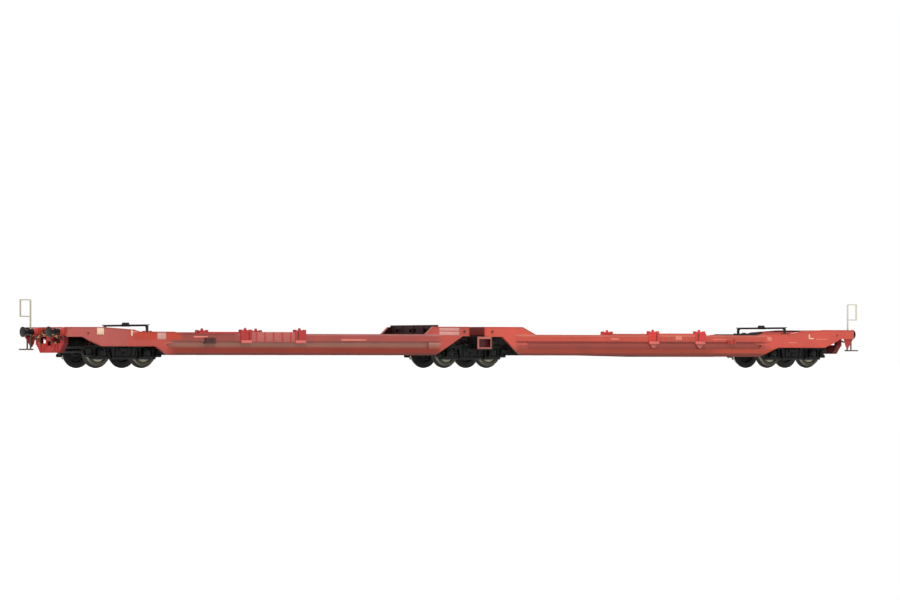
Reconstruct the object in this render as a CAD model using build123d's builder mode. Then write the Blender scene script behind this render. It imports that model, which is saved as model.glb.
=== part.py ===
from build123d import *
from collections import namedtuple
from math import cos, pi
import os

# Articulated pocket wagon, a 1:87 model on 16.5 mm gauge wheels.
# X runs along the wagon, Y across it, Z up. The origin is under the shared middle
# bogie's pivot, on the surface that the wheel flanges stand on.
os.makedirs("parts", exist_ok=True)

# Whole wagon
length_over_buffers = 393.1
end_overhang = 33.35           # outer bogie pivot to the buffer heads
frame_width = 34.0             # over the side sills
flange_depth = 1.0             # tread down to flange tip
rail = flange_depth            # height of the rail head above the standing surface

# Heights above the rail head
floor_bottom = 4.2
lower_chord_top = 6.9
upper_chord_bottom = 9.3
sill_top = 12.6
raised_top = 15.7              # side cheeks over the middle bogie
seat_top = 13.3                # side cheeks under the trestle's feet
shoulder_top = 14.1            # side cheeks over the outer pivot
platform_top = 15.0            # side cheeks at the buffers
deck_top = 12.6
platform_deck = 14.0           # walkway behind the headstock
end_apron = 7.5                # lower edge of the cheeks beside an outer bogie
notch_height = 9.4             # lower edge where the cheeks pass the coupling box
nose_bottom = 11.2             # lower edge of headstock and cheeks at the buffers
buffer_height = 13.15
end_bottom_a = 11.9            # lower edge of unit a's inner end plate

# Side sills
sill_wall = 1.5
web_recess = 0.7
joint_gap = 3.8                # from the middle pivot to each unit's end plate
corner_cut = 0.8               # corner taken off the end so that the units can close
buffer_length = 7.15
nose_overhang = 2.1            # cheeks beyond the headstock's face
headstock_depth = 2.0
nose_length = 7.0
notch_length = 3.5
notch_slope = 5.0
bogie_bay = 24.6               # outer pivot in to the pocket's bulkhead
bulkhead = 1.2
bulkhead_set_back = 1.0        # inner bulkhead behind the end of the raised cheeks
platform_start = 2.8           # walkway, outward of the outer pivot
seat_start = 4.9               # trestle seats, outward of the pocket's bulkhead
seat_length = 15.5
shoulder_slope = 3.0
shoulder_length = 14.0         # from the shoulder to the full height at the buffers
belly_start = 20.7             # where the sill reaches its full depth
band_inset = 3.4
deck_thickness = 0.6

# Raised inner ends, and what differs between the units' sills
raised_length = 21.8           # from the middle pivot
slope_a = 3.6                  # from the raised end down to the sill top
slope_b = 6.6
mouth_a = 3.7                  # level lower edge at the middle joint
mouth_b = 8.2
belly_a = 4.25                 # lower edge, the same all along unit a
belly_b = 4.4                  # unit b's lower edge towards the middle
deep_b = 3.7                   # unit b's lower edge towards its outer bogie
deep_start = 76.6              # inward of the pocket's bulkhead
deep_end = 40.6
overrun_a = 7.8                # full depth beyond the pocket's bulkhead
rise_a = 5.5                   # from there up to the apron
overrun_b = 3.5
rise_b = 9.5

# Pocket floor
floor_thickness = 0.8
floor_rib = 0.8
rib_depth = 0.7
floor_bays = 9
floor_slot_width = 9.0
floor_web = 4.0                # floor left between two slots
kerb = 0.6                     # low kerbs that guide a trailer's wheels

# Pivots
pin_radius = 1.5
running_clearance = 0.06
gap = 0.3                      # between pieces that pass each other
pad_height = 0.15              # bearing pad round each pin
pin_spare = 0.6                # pin beyond the last tongue
pin_engagement = 2.0           # pin inside an outer end's bolster
tongue_thickness = 1.2
tongue_radius = 3.2
tongue_width = 8.0
tongue_neck = 6.0
tongue_length = 14.0
knee_length = 6.0              # block that drops from the deck to the tongue
bolster_length = 4.4           # along X

# Bogies
wheelbase = 20.7
tread_radius = 5.3
back_to_back = 14.4
flange_width = 0.9
wheel_width = 2.8
axle_radius = 0.85
journal_radius = 0.6
journal_reach = 11.5           # from the middle to an axle's end
bogie_length = 35.6
side_frame_y = 10.5            # inner face of a side frame
side_frame_wall = 1.1
side_frame_top = 8.2
end_drop = 0.6                 # side frames slope down by this to the end beams
end_beam_bottom = 6.6
end_beam = 1.0
guide_drop = 2.7               # axle guides below the end beams
transom_half = 3.0
transom_bottom = 5.0
belly_drop = 1.6               # side frames below the transom
spring_radius = 1.0
spring_offset = 3.0            # from the axle to each spring
spring_room = 0.4
spring_top = 6.9
spring_seat = 3.6
seat_thickness = 0.6
box_half = 1.6
box_top = 6.5
box_proud = 0.5
box_inset = 0.1                # boxes inward of the side frames
cover_radius = 1.35
cover_proud = 0.7
block_thickness = 1.0
block_width = 1.6
beam_width = 0.7

# Buffers and coupling
buffer_spacing = 20.1
buffer_head_radius = 2.05
buffer_head_thickness = 0.9
buffer_stem_radius = 0.95
buffer_base_radius = 1.75
buffer_base_thickness = 0.9
apron_top_width = 21.0
apron_bottom_width = 14.2
apron_top = 8.7
apron_bottom = 5.0
apron_hanger = 2.0             # width of the two plates that hold the apron
apron_depth = 2.4
apron_proud = 0.6              # apron ahead of the headstock's face
coupler_width = 3.2            # standard shaft pocket, inside
coupler_height = 1.7
coupler_wall = 0.7
coupler_depth = 4.0
coupler_centre = 8.6
grab_wire = 0.5
grab_half = 2.6
grab_reach = 1.4

# Handrail and step at one corner of each end
corner_inset = 0.5
wire = 0.7
rail_loop_bottom = 19.0
rail_loop_top = 26.0
rail_loop_reach = 5.2
rail_overlap = 0.6
step_height = 6.2
step_reach = 6.0
step_width = 3.4
step_plate = 0.4

# Carriers for boxes, the panel between them and the pads, placed from the pocket's outer
# bulkhead inward
carrier_length = 5.2
carrier_top = 14.0
carrier_bottom = 8.9
carrier_proud = 0.3
spigot_radius = 0.6
spigot_height = 0.9
panel_ribs = 5
panel_rib = 0.5
panel_proud = 0.15
carrier_a = 53.4               # inner carrier of unit a
carrier_pitch_a = 25.3
carrier_b = 51.2
carrier_pitch_b = 23.6
pad_top = 13.3
pad_start_a = 55.6
pad_end_a = 6.6
pad_start_b = 81.0
pad_length_b = 5.0

# Brake changeover lever in the sill's recess
lever_inset = 11.4             # inward of the pocket's bulkhead
lever_length = 5.2
lever_bottom = 8.7
lever_height = 2.2
lever_proud = 0.25
lever_knob = 0.9

# Kingpin trestle: a portal across the wagon
trestle_set_back = 7.7         # kingpin inward of the outer pivot
trestle_top = 16.1
trestle_beam = 1.0             # height of the cross beam
trestle_depth = 2.2            # its size along the wagon
trestle_half = 16.4            # its reach to each side
trestle_foot = 6.4
foot_thickness = 0.8
foot_width = 1.3
leg_width = 1.1
table_length = 7.6             # kingpin table
table_width = 8.6
lock_radius = 1.4
lock_height = 0.8
kingpin_radius = 0.8
strut_length = 9.6             # struts on unit b's sill tops, in to the pocket's bulkhead
strut_height = 0.7

# Stop board across unit a's raised end
stop_x = 19.8
stop_thickness = 1.4
stop_top = 16.4
stop_half = 16.5
stop_window = 5.0
stop_window_height = 1.4

# Bearer boxes beside the middle pivot, on unit b alone
bearer_start = -0.5
bearer_length = 7.4
bearer_top = 11.7
bearer_bottom = 6.5
bearer_wall = 0.9
bearer_depth = 2.2
bearer_arm = 5.4               # inward from the box, over the bogie's side
bearer_arm_length = 2.8
bearer_arm_bottom = 8.9

face = frame_width / 2
inner_half = face - sill_wall
corner_y = inner_half - corner_inset
headstock_face = length_over_buffers / 2 - buffer_length
headstock_back = headstock_face - headstock_depth
nose = headstock_face + nose_overhang
pivot_spacing = length_over_buffers / 2 - end_overhang
pocket_outer = pivot_spacing - bogie_bay
axle_height = tread_radius
axle_x = wheelbase / 2
wheel_inner = back_to_back / 2
wheel_outer = wheel_inner + wheel_width
deck_under = deck_top - deck_thickness
bearing = side_frame_top + pad_height + gap       # lowest thing that rests over a bogie
upper_tongue = bearing + tongue_thickness + gap
bulkhead_x = raised_length + bulkhead_set_back
inner_carrier_a = pocket_outer - carrier_a
inner_carrier_b = pocket_outer - carrier_b

# side: which way from the middle pivot. slope: run from the raised end down to the sill
# top. mouth: level lower edge at the joint. belly: corners of the lower edge, distance from
# the middle and height. end_bottom: lower edge of the end plate. carriers: distances from
# the middle. pads: start and length of each pad on the sill top. strut: length of the
# trestle's struts. tongue: underside of the pivot tongue.
Unit = namedtuple("Unit", "name side slope mouth belly end_bottom carriers pads strut tongue")
units = [
    Unit(
        "a", -1, slope_a, mouth_a,
        [
            (pocket_outer + overrun_a + rise_a, end_apron),
            (pocket_outer + overrun_a, belly_a),
            (belly_start, belly_a),
        ],
        end_bottom_a, (inner_carrier_a, inner_carrier_a + carrier_pitch_a),
        [(pocket_outer - pad_start_a, pad_start_a - pad_end_a)], 0, bearing,
    ),
    Unit(
        "b", 1, slope_b, mouth_b,
        [
            (pocket_outer + overrun_b + rise_b, end_apron),
            (pocket_outer + overrun_b, deep_b),
            (pocket_outer - deep_end, deep_b),
            (pocket_outer - deep_start, belly_b),
            (belly_start, belly_b),
        ],
        bearer_top, (inner_carrier_b, inner_carrier_b + carrier_pitch_b),
        [(pocket_outer - pad_start_b, pad_length_b), (inner_carrier_b, carrier_pitch_b)],
        strut_length, upper_tongue,
    ),
]
Bogie = namedtuple("Bogie", "name x pin_top")
bogies = [
    Bogie("a", -pivot_spacing, bearing + pin_engagement),
    Bogie("m", 0.0, upper_tongue + tongue_thickness + pin_spare),
    Bogie("b", pivot_spacing, bearing + pin_engagement),
]


def across(side, y, x=0.0):
    """Upright plane along the wagon: x outward from the middle, y above the rail."""
    return Plane(origin=(side * x, side * y, rail), x_dir=(side, 0, 0), z_dir=(0, -side, 0))


def level(side, z, x=0.0):
    """Level plane at a height above the rail, x outward from the middle."""
    return Plane(origin=(side * x, 0, rail + z), x_dir=(side, 0, 0), z_dir=(0, 0, 1))


def facing(side, x):
    """Upright plane across the wagon, y above the rail, looking outward."""
    return Plane(origin=(side * x, 0, rail), x_dir=(0, side, 0), z_dir=(side, 0, 0))


def block(low, high, bottom, top):
    """Rectangle in a sketch, from its low and high x and its bottom and top."""
    with Locations(((low + high) / 2, (bottom + top) / 2)):
        Rectangle(high - low, top - bottom)


def write(piece, name):
    """Label a finished piece and write its file."""
    piece.part.label = name
    export_step(piece.part, "parts/" + name + ".step")


def side_sill(unit, hand):
    """One side sill: fish-bellied web between two chords, with raised cheeks at both ends."""
    seat_x = pocket_outer + seat_start
    shoulder_x = seat_x + seat_length + shoulder_slope
    sill_shape = [
        (joint_gap, raised_top),
        (raised_length, raised_top),
        (raised_length + unit.slope, sill_top),
        (pocket_outer + bulkhead, sill_top),
        (seat_x, seat_top),
        (seat_x + seat_length, seat_top),
        (shoulder_x, shoulder_top),
        (shoulder_x + shoulder_length, platform_top),
        (nose, platform_top),
        (nose, nose_bottom),
        (nose - nose_length, nose_bottom),
        (nose - nose_length - notch_length, notch_height),
        (nose - nose_length - notch_length - notch_slope, end_apron),
        *unit.belly,
        (joint_gap + unit.mouth, unit.end_bottom),
        (joint_gap, unit.end_bottom),
    ]
    band_start = belly_start + band_inset
    band_end = unit.belly[1][0]
    band = [
        (band_start, lower_chord_top),
        (band_end - gap, lower_chord_top),
        (band_end + 1.0, upper_chord_bottom - 0.9),
        (band_end - band_inset, upper_chord_bottom),
        (band_start, upper_chord_bottom),
    ]
    with BuildPart() as sill:
        with BuildSketch(across(unit.side, hand * face)):
            Polygon(*sill_shape, align=None)
        extrude(amount=hand * sill_wall)
        with BuildSketch(across(unit.side, hand * face)):
            Polygon(*band, align=None)
        extrude(amount=hand * web_recess, mode=Mode.SUBTRACT)
        tips = sill.edges().filter_by(Axis.Z).sort_by(Axis.X, reverse=unit.side < 0)[0:2]
        chamfer(tips.sort_by(Axis.Y, reverse=hand * unit.side > 0)[0], corner_cut)
    return sill


def pocket_floor(unit):
    """Floor between the sills: a slotted plate on cross ribs, with two low kerbs."""
    start = bulkhead_x + bulkhead
    length = pocket_outer - start
    middle = start + length / 2
    bay = length / floor_bays
    plate_bottom = floor_bottom + rib_depth
    with BuildPart() as floor:
        with BuildSketch(level(unit.side, plate_bottom, middle)):
            Rectangle(length, 2 * inner_half)
            with GridLocations(bay, 2 * inner_half / 3, floor_bays, 2):
                Rectangle(bay - floor_web, floor_slot_width, mode=Mode.SUBTRACT)
        extrude(amount=floor_thickness)
        with BuildSketch(level(unit.side, floor_bottom, middle)):
            with GridLocations(bay, 0, floor_bays - 1, 1):
                Rectangle(floor_rib, 2 * inner_half)
        extrude(amount=rib_depth)
        with BuildSketch(level(unit.side, plate_bottom + floor_thickness, middle)):
            with GridLocations(0, 2 * inner_half - kerb, 1, 2):
                Rectangle(length - 2 * bay, kerb)
        extrude(amount=kerb)
    return floor


def inner_end(unit):
    """Deck, end plate, bulkhead and pivot tongue over the shared bogie."""
    plate_back = joint_gap + bulkhead
    section = [
        (joint_gap, unit.end_bottom),
        (joint_gap, raised_top),
        (plate_back, raised_top),
        (plate_back, deck_top),
        (bulkhead_x + bulkhead, deck_top),
        (bulkhead_x + bulkhead, floor_bottom),
        (bulkhead_x, floor_bottom),
        (bulkhead_x, deck_under),
        (plate_back, deck_under),
        (plate_back, unit.end_bottom),
    ]
    with BuildPart() as end:
        with BuildSketch(across(unit.side, 0)):
            Polygon(*section, align=None)
        extrude(amount=inner_half, both=True)
        with BuildSketch(level(unit.side, unit.tongue)):
            Circle(tongue_radius)
            block(0, tongue_length, -tongue_neck / 2, tongue_neck / 2)
            Circle(pin_radius + running_clearance, mode=Mode.SUBTRACT)
        extrude(amount=tongue_thickness)
        with BuildSketch(level(unit.side, unit.tongue)):
            block(tongue_length - knee_length, tongue_length, -tongue_width / 2, tongue_width / 2)
        extrude(amount=deck_under - unit.tongue)
    return end


def outer_end(unit):
    """Platform deck, bolster and bulkhead over an outer bogie."""
    walk_x = pivot_spacing + platform_start
    walk_under = platform_deck - deck_thickness
    section = [
        (pocket_outer, floor_bottom),
        (pocket_outer, sill_top - gap),
        (pocket_outer + bulkhead, deck_top),
        (walk_x, deck_top),
        (walk_x + bulkhead, platform_deck),
        (headstock_back, platform_deck),
        (headstock_back, walk_under),
        (walk_x + 2 * bulkhead, walk_under),
        (walk_x + bulkhead, deck_under),
        (pocket_outer + bulkhead, deck_under),
        (pocket_outer + bulkhead, floor_bottom),
    ]
    with BuildPart() as end:
        with BuildSketch(across(unit.side, 0)):
            Polygon(*section, align=None)
        extrude(amount=inner_half, both=True)
        with BuildSketch(level(unit.side, bearing, pivot_spacing)):
            Rectangle(bolster_length, 2 * inner_half)
        extrude(amount=deck_under - bearing)
        with BuildSketch(level(unit.side, bearing, pivot_spacing)):
            Circle(pin_radius + running_clearance)
        extrude(amount=pin_engagement + gap, mode=Mode.SUBTRACT)
    return end


def headstock(unit):
    """Buffer beam between the cheeks."""
    with BuildPart() as beam:
        with BuildSketch(facing(unit.side, headstock_back)):
            block(-inner_half, inner_half, nose_bottom, platform_top)
        extrude(amount=headstock_depth)
    return beam


def buffers(unit):
    """Two buffers: faceted base and stem, round head."""
    # starts ahead of the headstock, length, radius, number of flats
    stages = [
        (0, buffer_base_thickness, buffer_base_radius, 16),
        (buffer_base_thickness, buffer_length - buffer_base_thickness - buffer_head_thickness,
         buffer_stem_radius, 12),
    ]
    with BuildPart() as pair:
        for ahead, length, radius, flats in stages:
            with BuildSketch(facing(unit.side, headstock_face + ahead)):
                with Locations((0, buffer_height)):
                    with GridLocations(buffer_spacing, 0, 2, 1):
                        RegularPolygon(radius, flats)
            extrude(amount=length)
        with BuildSketch(facing(unit.side, headstock_face + buffer_length - buffer_head_thickness)):
            with Locations((0, buffer_height)):
                with GridLocations(buffer_spacing, 0, 2, 1):
                    Circle(buffer_head_radius)
        extrude(amount=buffer_head_thickness)
    return pair


def coupling_box(unit):
    """Apron hung under the headstock with the shaft pocket for a coupling."""
    front = headstock_face + apron_proud
    pocket_bottom = coupler_centre - coupler_height / 2
    half = coupler_width / 2
    with BuildPart() as box:
        with BuildSketch(facing(unit.side, front - apron_depth)):
            Polygon(
                (-apron_top_width / 2, apron_top),
                (-apron_bottom_width / 2, apron_bottom),
                (apron_bottom_width / 2, apron_bottom),
                (apron_top_width / 2, apron_top),
                align=None,
            )
            with Locations((0, (apron_top + nose_bottom) / 2)):
                with GridLocations(apron_top_width - apron_hanger, 0, 2, 1):
                    Rectangle(apron_hanger, nose_bottom - apron_top)
        extrude(amount=apron_depth)
        with BuildSketch(facing(unit.side, front - coupler_depth - coupler_wall)):
            block(-half - coupler_wall, half + coupler_wall, pocket_bottom - coupler_wall, nose_bottom)
        extrude(amount=coupler_depth + coupler_wall)
        with BuildSketch(facing(unit.side, front - coupler_depth)):
            block(-half, half, pocket_bottom, pocket_bottom + coupler_height)
        extrude(amount=coupler_depth, mode=Mode.SUBTRACT)
    return box


def grab_irons(unit):
    """A wire handle for the shunter under each buffer."""
    with BuildPart() as pair:
        with BuildSketch(level(unit.side, nose_bottom, headstock_face)):
            with Locations((grab_reach / 2, 0)):
                with GridLocations(0, buffer_spacing, 1, 2):
                    Rectangle(grab_reach, 2 * grab_half)
            with Locations(((grab_reach - grab_wire) / 2, 0)):
                with GridLocations(0, buffer_spacing, 1, 2):
                    Rectangle(grab_reach - grab_wire, 2 * (grab_half - grab_wire), mode=Mode.SUBTRACT)
        extrude(amount=grab_wire / 2)
    return pair


def handrail(unit):
    """Wire post with an open loop that reaches over the buffers."""
    with BuildPart() as post:
        with BuildSketch(across(unit.side, -corner_y)):
            tip = headstock_face + rail_loop_reach
            block(headstock_face, headstock_face + wire, nose_bottom + rail_overlap, rail_loop_top)
            block(headstock_face, tip, rail_loop_bottom, rail_loop_top)
            with Locations(((headstock_face + tip) / 2, (rail_loop_bottom + rail_loop_top) / 2)):
                Rectangle(
                    rail_loop_reach - 2 * wire,
                    rail_loop_top - rail_loop_bottom - 2 * wire,
                    mode=Mode.SUBTRACT,
                )
        extrude(amount=wire / 2, both=True)
    return post


def corner_step(unit):
    """Shunter's step: two thin hangers and a footplate below the handrail."""
    with BuildPart() as step:
        with BuildSketch(level(unit.side, step_height)):
            with Locations((headstock_face - wire + step_reach / 2, -corner_y)):
                Rectangle(step_reach, step_width)
        extrude(amount=step_plate)
        with BuildSketch(level(unit.side, step_height)):
            with Locations((headstock_face - wire / 2, -corner_y)):
                with GridLocations(0, step_width - wire, 1, 2):
                    Rectangle(wire, wire)
        extrude(amount=nose_bottom - step_height)
    return step


def carriers(unit):
    """Box carriers on both sills with spigots, the ribbed panel between them and pads."""
    first, second = unit.carriers
    panel_start = first + carrier_length / 2
    panel_end = second - carrier_length / 2
    rib_pitch = (panel_end - panel_start) / panel_ribs
    with BuildPart() as fittings:
        for hand in (-1, 1):
            outer = hand * (face + carrier_proud)
            for x in unit.carriers:
                with BuildSketch(across(unit.side, outer, x)):
                    block(-carrier_length / 2, carrier_length / 2, sill_top, carrier_top)
                extrude(amount=hand * (sill_wall + carrier_proud))
                with BuildSketch(across(unit.side, outer, x)):
                    block(-carrier_length / 2, carrier_length / 2, carrier_bottom, sill_top)
                extrude(amount=hand * carrier_proud)
                with BuildSketch(level(unit.side, carrier_top, x)):
                    with Locations((0, hand * (face - sill_wall / 2))):
                        RegularPolygon(spigot_radius, 8)
                extrude(amount=spigot_height, taper=12)
            with BuildSketch(across(unit.side, hand * (face + panel_proud))):
                block(panel_start, panel_end, upper_chord_bottom, pad_top)
            extrude(amount=hand * panel_proud)
            with BuildSketch(across(unit.side, outer, (panel_start + panel_end) / 2)):
                with Locations((0, (upper_chord_bottom + pad_top) / 2)):
                    with GridLocations(rib_pitch, 0, panel_ribs, 1):
                        Rectangle(panel_rib, pad_top - upper_chord_bottom)
            extrude(amount=hand * carrier_proud)
            for start, length in unit.pads:
                with BuildSketch(across(unit.side, hand * face)):
                    block(start, start + length, sill_top, pad_top)
                extrude(amount=hand * sill_wall)
    return fittings


def brake_lever(unit):
    """Black changeover plate with two stub levers, on one sill."""
    plate_face = face + lever_proud
    lever_x = pocket_outer - lever_inset
    with BuildPart() as lever:
        with BuildSketch(across(unit.side, plate_face, lever_x)):
            block(-lever_length / 2, lever_length / 2, lever_bottom, upper_chord_bottom)
        extrude(amount=web_recess + lever_proud)
        with BuildSketch(across(unit.side, plate_face, lever_x)):
            block(-lever_length / 2, lever_length / 2, upper_chord_bottom, lever_bottom + lever_height)
        extrude(amount=lever_proud)
        with BuildSketch(across(unit.side, plate_face, lever_x)):
            with Locations((0, lever_bottom + lever_height / 2)):
                with GridLocations(lever_length / 2, 0, 2, 1):
                    Rectangle(lever_knob, lever_height)
        extrude(amount=-lever_proud)
    return lever


def trestle(unit):
    """Kingpin trestle: feet and legs on the side cheeks, a cross beam with its bored table
    and lock, and on unit b two struts that lie on the sill tops."""
    x = pivot_spacing - trestle_set_back
    foot_y = face - sill_wall / 2
    beam_bottom = trestle_top - trestle_beam
    with BuildPart() as stand:
        with BuildSketch(level(unit.side, seat_top, x)):
            with GridLocations(0, 2 * foot_y, 1, 2):
                Rectangle(trestle_foot, foot_width)
        extrude(amount=foot_thickness)
        with BuildSketch(level(unit.side, seat_top, x)):
            with GridLocations(0, 2 * foot_y, 1, 2):
                Rectangle(trestle_depth, leg_width)
        extrude(amount=beam_bottom - seat_top)
        with BuildSketch(level(unit.side, beam_bottom, x)):
            Rectangle(trestle_depth, 2 * trestle_half)
            Rectangle(table_length, table_width)
        extrude(amount=trestle_beam)
        with BuildSketch(level(unit.side, trestle_top, x)):
            RegularPolygon(lock_radius, 16)
        extrude(amount=lock_height)
        with BuildSketch(level(unit.side, beam_bottom, x)):
            Circle(kingpin_radius)
        extrude(amount=trestle_beam + lock_height, mode=Mode.SUBTRACT)
        if unit.strut:
            with BuildSketch(level(unit.side, sill_top, pocket_outer - unit.strut / 2)):
                with GridLocations(0, 2 * foot_y, 1, 2):
                    Rectangle(unit.strut, foot_width)
            extrude(amount=strut_height)
    return stand


def stop_board(unit):
    """Black board across the raised end, resting on the deck and on the cheeks."""
    with BuildPart() as board:
        with BuildSketch(facing(unit.side, stop_x - stop_thickness / 2)):
            block(-inner_half, inner_half, deck_top, stop_top)
            block(-stop_half, stop_half, raised_top, stop_top)
            with Locations((0, (deck_top + raised_top) / 2)):
                with GridLocations(2 * stop_window, 0, 3, 1):
                    Rectangle(stop_window, stop_window_height, mode=Mode.SUBTRACT)
        extrude(amount=stop_thickness)
    return board


def side_bearers(unit):
    """Two box-section bearers under the raised end, open on the outside."""
    bearer_end = bearer_start + bearer_length
    with BuildPart() as pair:
        for hand in (-1, 1):
            with BuildSketch(across(unit.side, hand * face)):
                block(bearer_start, bearer_end, bearer_bottom, bearer_top)
            extrude(amount=hand * bearer_depth)
            with BuildSketch(across(unit.side, hand * face)):
                block(
                    bearer_start + bearer_wall, bearer_end - bearer_wall,
                    bearer_bottom + bearer_wall, bearer_top - bearer_wall,
                )
            extrude(amount=hand * (bearer_depth - bearer_wall / 2), mode=Mode.SUBTRACT)
            with BuildSketch(across(unit.side, hand * (face - bearer_depth))):
                block(bearer_start, bearer_start + bearer_arm_length, bearer_arm_bottom, bearer_top)
            extrude(amount=hand * bearer_arm)
    return pair


def bogie_frame(bogie):
    """Two side frames, end beams, transom, centre pad and pivot pin."""
    half = bogie_length / 2
    guide = axle_x + spring_offset + spring_radius + spring_room
    inner_guide = axle_x - spring_offset - spring_radius - spring_room
    side = [
        (0, side_frame_top),
        (half - 2 * end_beam, side_frame_top),
        (half, side_frame_top - end_drop),
        (half, end_beam_bottom),
        (half - end_beam, end_beam_bottom),
        (half - 1.5 * end_beam, end_beam_bottom - guide_drop),
        (guide, end_beam_bottom - guide_drop),
        (guide, spring_top),
        (inner_guide, spring_top),
        (inner_guide - end_drop, transom_bottom - belly_drop),
        (0, transom_bottom - belly_drop),
    ]
    with BuildPart() as frame:
        for hand in (-1, 1):
            with BuildSketch(across(1, hand * (side_frame_y + side_frame_wall), bogie.x)):
                Polygon(*side, align=None)
                mirror(about=Plane.YZ)
            extrude(amount=hand * side_frame_wall)
        with BuildSketch(level(1, end_beam_bottom, bogie.x)):
            with GridLocations(bogie_length - end_beam, 0, 2, 1):
                Rectangle(end_beam, 2 * side_frame_y)
        extrude(amount=side_frame_top - end_drop - end_beam_bottom)
        with BuildSketch(level(1, transom_bottom, bogie.x)):
            Rectangle(2 * transom_half, 2 * side_frame_y)
        extrude(amount=side_frame_top - transom_bottom)
        with BuildSketch(level(1, side_frame_top, bogie.x)):
            RegularPolygon(tongue_radius, 16)
        extrude(amount=pad_height)
        with BuildSketch(level(1, side_frame_top, bogie.x)):
            Circle(pin_radius)
        extrude(amount=bogie.pin_top - side_frame_top)
    return frame


def axle_boxes(bogie):
    """Four axle boxes, each with spring seats, two springs, a cover and a bearing cup."""
    frame_middle = side_frame_y + side_frame_wall / 2
    outer = side_frame_y + side_frame_wall + box_proud
    back = side_frame_y - box_inset
    cup = journal_reach + gap - back
    with BuildPart() as boxes:
        for end in (-1, 1):
            x = bogie.x + end * axle_x
            for hand in (-1, 1):
                with BuildSketch(across(1, hand * outer, x)):
                    block(-box_half, box_half, spring_seat - seat_thickness, box_top)
                    reach = spring_offset + spring_radius
                    block(-reach, reach, spring_seat - seat_thickness, spring_seat)
                extrude(amount=hand * (outer - back))
                with BuildSketch(across(1, hand * outer, x)):
                    with Locations((0, axle_height)):
                        RegularPolygon(cover_radius, 12)
                extrude(amount=-hand * cover_proud)
                with BuildSketch(across(1, hand * back, x)):
                    with Locations((0, axle_height)):
                        RegularPolygon((journal_radius + running_clearance) / cos(pi / 12), 12)
                extrude(amount=-hand * cup, mode=Mode.SUBTRACT)
                with BuildSketch(level(1, spring_seat, x)):
                    with Locations((0, hand * frame_middle)):
                        with GridLocations(2 * spring_offset, 0, 2, 1):
                            RegularPolygon(spring_radius, 8)
                extrude(amount=spring_top - spring_seat)
    return boxes


def brake_gear(bogie):
    """Four brake beams with two blocks each, hung beside the wheel treads."""
    reach = tread_radius + gap + block_thickness
    outer_y = wheel_outer - gap / 2
    inner_beam = axle_x - reach - transom_half
    # which side of the axle, the beam's distance from the bogie's middle, its width
    beams = [
        (1, axle_x + reach + beam_width / 2, beam_width),
        (-1, transom_half + inner_beam / 2, inner_beam),
    ]
    with BuildPart() as gear:
        for end in (-1, 1):
            for way, beam_x, width in beams:
                block_x = axle_x + way * (reach - block_thickness / 2)
                with BuildSketch(across(1, 0, bogie.x)):
                    with Locations((end * beam_x, axle_height)):
                        Rectangle(width, beam_width)
                extrude(amount=outer_y, both=True)
                for hand in (-1, 1):
                    with BuildSketch(across(1, hand * outer_y, bogie.x)):
                        with Locations((end * block_x, axle_height)):
                            Rectangle(block_thickness, 2 * (end_beam_bottom - axle_height))
                    extrude(amount=hand * block_width)
    return gear


def wheelset(x):
    """Turned axle with two flanged wheels and stub journals."""
    centre = (x, 0, rail + axle_height)
    profile = [
        (wheel_inner, 0),
        (wheel_inner, tread_radius + flange_depth),
        (wheel_inner + flange_width, tread_radius),
        (wheel_outer, tread_radius),
        (wheel_outer, 0),
    ]
    with BuildPart() as wheels:
        with BuildSketch(Plane(origin=centre, x_dir=(0, 1, 0), z_dir=(1, 0, 0))):
            Polygon(*profile, align=None)
            mirror(about=Plane.YZ)
        revolve(axis=Axis(centre, (0, 1, 0)))
        with BuildSketch(across(1, 0, x)):
            with Locations((0, axle_height)):
                RegularPolygon(axle_radius, 8)
        extrude(amount=wheel_inner, both=True)
        for hand in (-1, 1):
            with BuildSketch(across(1, hand * wheel_outer, x)):
                with Locations((0, axle_height)):
                    RegularPolygon(journal_radius, 8)
            extrude(amount=-hand * (journal_reach - wheel_outer))
    return wheels


makers = {
    "pocket_floor": pocket_floor,
    "inner_end": inner_end,
    "outer_end": outer_end,
    "headstock": headstock,
    "buffers": buffers,
    "coupling_box": coupling_box,
    "grab_irons": grab_irons,
    "handrail": handrail,
    "step": corner_step,
    "carriers": carriers,
    "brake_lever": brake_lever,
    "trestle": trestle,
}
for unit in units:
    write(side_sill(unit, -1), "sill_right_" + unit.name)
    write(side_sill(unit, 1), "sill_left_" + unit.name)
    for name, make in makers.items():
        write(make(unit), name + "_" + unit.name)
write(stop_board(units[0]), "stop_board_a")
write(side_bearers(units[1]), "side_bearers_b")

for bogie in bogies:
    write(bogie_frame(bogie), "bogie_frame_" + bogie.name)
    write(axle_boxes(bogie), "axle_boxes_" + bogie.name)
    write(brake_gear(bogie), "brake_gear_" + bogie.name)
    for number, end in enumerate((-1, 1), start=1):
        write(wheelset(bogie.x + end * axle_x), "wheelset_" + bogie.name + str(number))
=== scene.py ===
import math

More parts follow.
